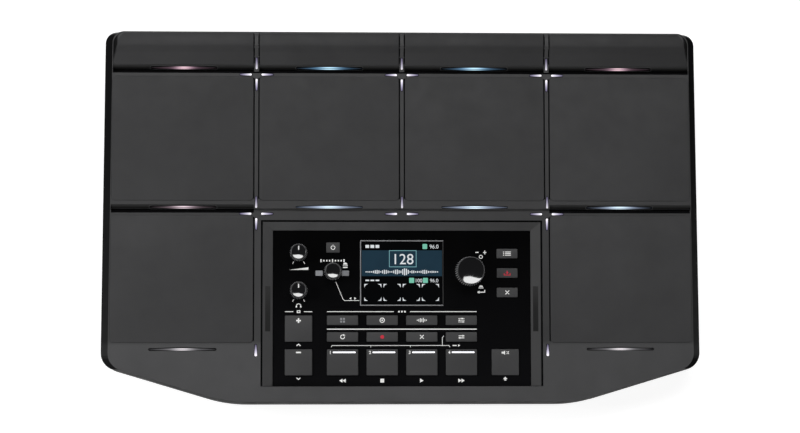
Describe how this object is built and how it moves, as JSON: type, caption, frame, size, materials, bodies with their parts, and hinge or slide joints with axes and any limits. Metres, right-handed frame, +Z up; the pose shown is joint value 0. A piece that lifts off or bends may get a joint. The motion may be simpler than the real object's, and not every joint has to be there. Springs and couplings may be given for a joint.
{
  "type": "electronic percussion pad",
  "caption": "Electronic percussion pad with rubber strike pads, rear bar pads, lens and star lights, and a recessed gloss control panel with a screen, knobs and buttons.",
  "frame": {"origin": "middle of the part's box on the table, under its feet", "axes": "+X to the player's right, +Y to the rear, +Z up"},
  "size_m": [0.5204, 0.3234, 0.0803],
  "materials": {
    "case_upper": "fine matte texture",
    "case_lower": "fine matte texture",
    "pad_rubber": "soft matte rubber",
    "bar_rubber": "soft matte rubber",
    "plate_steel": "zinc plated",
    "foam": "open-cell foam",
    "sensor_brass": "plain",
    "pad_light": "translucent lens",
    "star_light": "translucent lens",
    "surround": "satin",
    "panel_gloss": "high gloss black",
    "screen": "lit display behind a clear window",
    "module": "plain",
    "board": "solder mask",
    "shaft_steel": "turned",
    "rotor": "plain",
    "knob": "satin side, glossy top",
    "button": "satin",
    "socket": "plain",
    "port": "plated shell",
    "foot_rubber": "matte",
    "screw": "black zinc"
  },
  "bodies": {
    "case": {"bottom_case": "case_lower", "rear_panel": "case_lower", "top_case": "case_upper", "pad_plates": "plate_steel", "pad_cushions": "foam", "pad_sensors": "sensor_brass", "pad_lights": "pad_light", "star_lights": "star_light", "panel_surround": "surround", "control_panel": "panel_gloss", "lcd_window": "screen", "lcd_module": "module", "panel_board": "board", "main_board": "board", "switches": "module", "rotary_bodies": "module", "jack_sockets": "socket", "port_sockets": "port", "stand_plate": "plate_steel", "rubber_feet": "foot_rubber", "case_screws": "screw"},
    "main_pad_1": {"main_pad_1": "pad_rubber"},
    "main_pad_2": {"main_pad_2": "pad_rubber"},
    "main_pad_3": {"main_pad_3": "pad_rubber"},
    "main_pad_4": {"main_pad_4": "pad_rubber"},
    "main_pad_5": {"main_pad_5": "pad_rubber"},
    "main_pad_6": {"main_pad_6": "pad_rubber"},
    "bar_pad_1": {"bar_pad_1": "bar_rubber"},
    "bar_pad_2": {"bar_pad_2": "bar_rubber"},
    "bar_pad_3": {"bar_pad_3": "bar_rubber"},
    "bar_pad_4": {"bar_pad_4": "bar_rubber"},
    "power_button": {"power_button": "button"},
    "edit_button": {"edit_button": "button"},
    "write_button": {"write_button": "button"},
    "exit_button": {"exit_button": "button"},
    "kit_up_button": {"kit_up_button": "button"},
    "kit_down_button": {"kit_down_button": "button"},
    "mode_button_1": {"mode_button_1": "button"},
    "mode_button_2": {"mode_button_2": "button"},
    "mode_button_3": {"mode_button_3": "button"},
    "mode_button_4": {"mode_button_4": "button"},
    "looper_button_1": {"looper_button_1": "button"},
    "looper_button_2": {"looper_button_2": "button"},
    "looper_button_3": {"looper_button_3": "button"},
    "looper_button_4": {"looper_button_4": "button"},
    "loop_switch_1": {"loop_switch_1": "button"},
    "loop_switch_2": {"loop_switch_2": "button"},
    "loop_switch_3": {"loop_switch_3": "button"},
    "loop_switch_4": {"loop_switch_4": "button"},
    "sound_off_button": {"sound_off_button": "button"},
    "main_volume_control": {"main_volume_shaft": "shaft_steel", "main_volume_knob": "knob"},
    "phones_control": {"phones_shaft": "shaft_steel", "phones_knob": "knob"},
    "metronome_rotor": {"metronome_rotor": "rotor"},
    "metronome_control": {"metronome_shaft": "shaft_steel", "metronome_knob": "knob"},
    "value_rotor": {"value_rotor": "rotor"},
    "value_control": {"value_shaft": "shaft_steel", "value_knob": "knob"}
  },
  "joints": [
    {"name": "main_pad_1_press", "type": "slide", "parent": "case", "child": "main_pad_1", "axis": [0, 0.0872, -0.9962], "range_m": [0, 0.0008], "stiffness_N_per_m": 12000, "deforming": ["pad_cushions"]},
    {"name": "main_pad_2_press", "type": "slide", "parent": "case", "child": "main_pad_2", "axis": [0, 0.0872, -0.9962], "range_m": [0, 0.0008], "stiffness_N_per_m": 12000, "deforming": ["pad_cushions"]},
    {"name": "main_pad_3_press", "type": "slide", "parent": "case", "child": "main_pad_3", "axis": [0, 0.0872, -0.9962], "range_m": [0, 0.0008], "stiffness_N_per_m": 12000, "deforming": ["pad_cushions"]},
    {"name": "main_pad_4_press", "type": "slide", "parent": "case", "child": "main_pad_4", "axis": [0, 0.0872, -0.9962], "range_m": [0, 0.0008], "stiffness_N_per_m": 12000, "deforming": ["pad_cushions"]},
    {"name": "main_pad_5_press", "type": "slide", "parent": "case", "child": "main_pad_5", "axis": [0, 0.0872, -0.9962], "range_m": [0, 0.0008], "stiffness_N_per_m": 12000, "deforming": ["pad_cushions"]},
    {"name": "main_pad_6_press", "type": "slide", "parent": "case", "child": "main_pad_6", "axis": [0, 0.0872, -0.9962], "range_m": [0, 0.0008], "stiffness_N_per_m": 12000, "deforming": ["pad_cushions"]},
    {"name": "bar_pad_1_press", "type": "slide", "parent": "case", "child": "bar_pad_1", "axis": [0, 0.0872, -0.9962], "range_m": [0, 0.0008], "stiffness_N_per_m": 12000, "deforming": ["pad_cushions"]},
    {"name": "bar_pad_2_press", "type": "slide", "parent": "case", "child": "bar_pad_2", "axis": [0, 0.0872, -0.9962], "range_m": [0, 0.0008], "stiffness_N_per_m": 12000, "deforming": ["pad_cushions"]},
    {"name": "bar_pad_3_press", "type": "slide", "parent": "case", "child": "bar_pad_3", "axis": [0, 0.0872, -0.9962], "range_m": [0, 0.0008], "stiffness_N_per_m": 12000, "deforming": ["pad_cushions"]},
    {"name": "bar_pad_4_press", "type": "slide", "parent": "case", "child": "bar_pad_4", "axis": [0, 0.0872, -0.9962], "range_m": [0, 0.0008], "stiffness_N_per_m": 12000, "deforming": ["pad_cushions"]},
    {"name": "power_button_press", "type": "slide", "parent": "case", "child": "power_button", "axis": [0, 0.0872, -0.9962], "range_m": [0, 0.001], "stiffness_N_per_m": 1500},
    {"name": "edit_button_press", "type": "slide", "parent": "case", "child": "edit_button", "axis": [0, 0.0872, -0.9962], "range_m": [0, 0.001], "stiffness_N_per_m": 1500},
    {"name": "write_button_press", "type": "slide", "parent": "case", "child": "write_button", "axis": [0, 0.0872, -0.9962], "range_m": [0, 0.001], "stiffness_N_per_m": 1500},
    {"name": "exit_button_press", "type": "slide", "parent": "case", "child": "exit_button", "axis": [0, 0.0872, -0.9962], "range_m": [0, 0.001], "stiffness_N_per_m": 1500},
    {"name": "kit_up_button_press", "type": "slide", "parent": "case", "child": "kit_up_button", "axis": [0, 0.0872, -0.9962], "range_m": [0, 0.001], "stiffness_N_per_m": 1500},
    {"name": "kit_down_button_press", "type": "slide", "parent": "case", "child": "kit_down_button", "axis": [0, 0.0872, -0.9962], "range_m": [0, 0.001], "stiffness_N_per_m": 1500},
    {"name": "mode_button_1_press", "type": "slide", "parent": "case", "child": "mode_button_1", "axis": [0, 0.0872, -0.9962], "range_m": [0, 0.001], "stiffness_N_per_m": 1500},
    {"name": "mode_button_2_press", "type": "slide", "parent": "case", "child": "mode_button_2", "axis": [0, 0.0872, -0.9962], "range_m": [0, 0.001], "stiffness_N_per_m": 1500},
    {"name": "mode_button_3_press", "type": "slide", "parent": "case", "child": "mode_button_3", "axis": [0, 0.0872, -0.9962], "range_m": [0, 0.001], "stiffness_N_per_m": 1500},
    {"name": "mode_button_4_press", "type": "slide", "parent": "case", "child": "mode_button_4", "axis": [0, 0.0872, -0.9962], "range_m": [0, 0.001], "stiffness_N_per_m": 1500},
    {"name": "looper_button_1_press", "type": "slide", "parent": "case", "child": "looper_button_1", "axis": [0, 0.0872, -0.9962], "range_m": [0, 0.001], "stiffness_N_per_m": 1500},
    {"name": "looper_button_2_press", "type": "slide", "parent": "case", "child": "looper_button_2", "axis": [0, 0.0872, -0.9962], "range_m": [0, 0.001], "stiffness_N_per_m": 1500},
    {"name": "looper_button_3_press", "type": "slide", "parent": "case", "child": "looper_button_3", "axis": [0, 0.0872, -0.9962], "range_m": [0, 0.001], "stiffness_N_per_m": 1500},
    {"name": "looper_button_4_press", "type": "slide", "parent": "case", "child": "looper_button_4", "axis": [0, 0.0872, -0.9962], "range_m": [0, 0.001], "stiffness_N_per_m": 1500},
    {"name": "loop_switch_1_press", "type": "slide", "parent": "case", "child": "loop_switch_1", "axis": [0, 0.0872, -0.9962], "range_m": [0, 0.001], "stiffness_N_per_m": 1500},
    {"name": "loop_switch_2_press", "type": "slide", "parent": "case", "child": "loop_switch_2", "axis": [0, 0.0872, -0.9962], "range_m": [0, 0.001], "stiffness_N_per_m": 1500},
    {"name": "loop_switch_3_press", "type": "slide", "parent": "case", "child": "loop_switch_3", "axis": [0, 0.0872, -0.9962], "range_m": [0, 0.001], "stiffness_N_per_m": 1500},
    {"name": "loop_switch_4_press", "type": "slide", "parent": "case", "child": "loop_switch_4", "axis": [0, 0.0872, -0.9962], "range_m": [0, 0.001], "stiffness_N_per_m": 1500},
    {"name": "sound_off_button_press", "type": "slide", "parent": "case", "child": "sound_off_button", "axis": [0, 0.0872, -0.9962], "range_m": [0, 0.001], "stiffness_N_per_m": 1500},
    {"name": "main_volume_turn", "type": "hinge", "parent": "case", "child": "main_volume_control", "pos_m": [-0.08945, -0.03233, 0.0528], "axis": [0, -0.0872, 0.9962], "range_deg": [-150, 150]},
    {"name": "phones_turn", "type": "hinge", "parent": "case", "child": "phones_control", "pos_m": [-0.08945, -0.06501, 0.04994], "axis": [0, -0.0872, 0.9962], "range_deg": [-150, 150]},
    {"name": "metronome_turn", "type": "hinge", "parent": "case", "child": "metronome_rotor", "pos_m": [-0.05973, -0.04867, 0.05137], "axis": [0, -0.0872, 0.9962], "continuous": true},
    {"name": "metronome_push", "type": "slide", "parent": "metronome_rotor", "child": "metronome_control", "axis": [0, 0.0872, -0.9962], "range_m": [0, 0.0008], "stiffness_N_per_m": 3000},
    {"name": "value_turn", "type": "hinge", "parent": "case", "child": "value_rotor", "pos_m": [0.05892, -0.04867, 0.05137], "axis": [0, -0.0872, 0.9962], "continuous": true},
    {"name": "value_push", "type": "slide", "parent": "value_rotor", "child": "value_control", "axis": [0, 0.0872, -0.9962], "range_m": [0, 0.0008], "stiffness_N_per_m": 3000}
  ]
}
